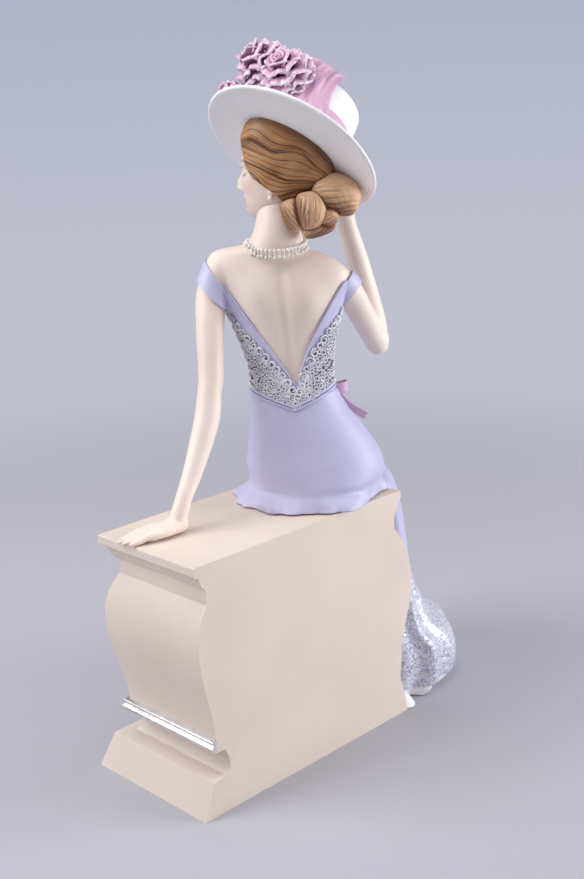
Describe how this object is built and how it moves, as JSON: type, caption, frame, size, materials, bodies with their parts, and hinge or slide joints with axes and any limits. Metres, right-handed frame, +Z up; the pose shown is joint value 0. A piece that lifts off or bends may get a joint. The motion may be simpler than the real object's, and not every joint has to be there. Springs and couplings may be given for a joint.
{
  "type": "figurine jewellery box",
  "caption": "Swelling flat-backed chest with drawers and a wind-up musical movement, carrying a seated lady in a brimmed hat whose gown falls over one end.",
  "frame": {"origin": "on the floor, on the underside of the floor panel, under the middle of the top slab", "axes": "+Z up, -Y is the way the drawers open, +Y is the flat back, -X is the end that the gown falls over"},
  "size_m": [0.2061, 0.1059, 0.3247],
  "materials": {
    "cream_resin": "matt paint on cast resin",
    "silver_trim": "silver paint on cast resin",
    "lavender_resin": "satin paint on cast resin",
    "lace_resin": "dry-brushed paint on cast resin",
    "skin_resin": "matt paint on cast resin",
    "hair_resin": "washed paint on cast resin",
    "white_resin": "matt paint on cast resin",
    "mauve_resin": "dry-brushed paint on cast resin",
    "pearl_resin": "pearl paint on cast resin",
    "tray_plastic": "moulded",
    "flock": "flocked paper",
    "plated_knob": "bright plate",
    "steel": "bright",
    "brass": "lacquered",
    "governor_plastic": "moulded"
  },
  "bodies": {
    "casting": {"chest_carcase": "cream_resin", "top_slab": "cream_resin", "plinth": "cream_resin", "floor_panel": "cream_resin", "cover_screws": "steel", "drawer_shelf": "tray_plastic", "bead_end": "silver_trim", "bead_front": "silver_trim", "bedplate": "steel", "bedplate_screws": "steel", "comb": "steel", "comb_screws": "steel", "governor": "governor_plastic", "hat": "white_resin", "hat_ribbon": "mauve_resin", "hat_roses": "mauve_resin", "torso": "skin_resin", "head": "skin_resin", "hair": "hair_resin", "chignon": "hair_resin", "leaning_arm": "skin_resin", "raised_arm": "skin_resin", "skirt": "lavender_resin", "bodice": "lavender_resin", "back_lace": "lace_resin", "waist_bow": "mauve_resin", "choker": "pearl_resin", "earrings": "pearl_resin", "train": "lavender_resin", "lace_flounce": "lace_resin", "petticoat": "white_resin"},
    "upper_drawer": {"upper_drawer_face": "cream_resin", "upper_drawer_tray": "tray_plastic", "upper_drawer_lining": "flock", "upper_knobs": "plated_knob", "upper_knob_screws": "steel"},
    "lower_drawer": {"lower_drawer_face": "cream_resin", "lower_drawer_tray": "tray_plastic", "lower_drawer_lining": "flock", "lower_knobs": "plated_knob", "lower_knob_screws": "steel"},
    "winding_key": {"winding_key": "steel", "spring_barrel": "brass"},
    "music_drum": {"music_drum": "brass"}
  },
  "joints": [
    {"name": "lower_drawer_slide", "type": "slide", "parent": "casting", "child": "lower_drawer", "axis": [0, -1, 0], "range_m": [0, 0.038]},
    {"name": "upper_drawer_slide", "type": "slide", "parent": "casting", "child": "upper_drawer", "axis": [0, -1, 0], "range_m": [0, 0.038]},
    {"name": "key_turn", "type": "hinge", "parent": "casting", "child": "winding_key", "pos_m": [-0.025, 0.002, 0], "axis": [0, 0, 1], "continuous": true},
    {"name": "drum_turn", "type": "hinge", "parent": "casting", "child": "music_drum", "pos_m": [-0.002, 0.002, 0.02565], "axis": [1, 0, 0], "continuous": true}
  ],
  "couplings": [
    {"joint": "drum_turn", "follows": "key_turn", "ratio": 2.5}
  ]
}
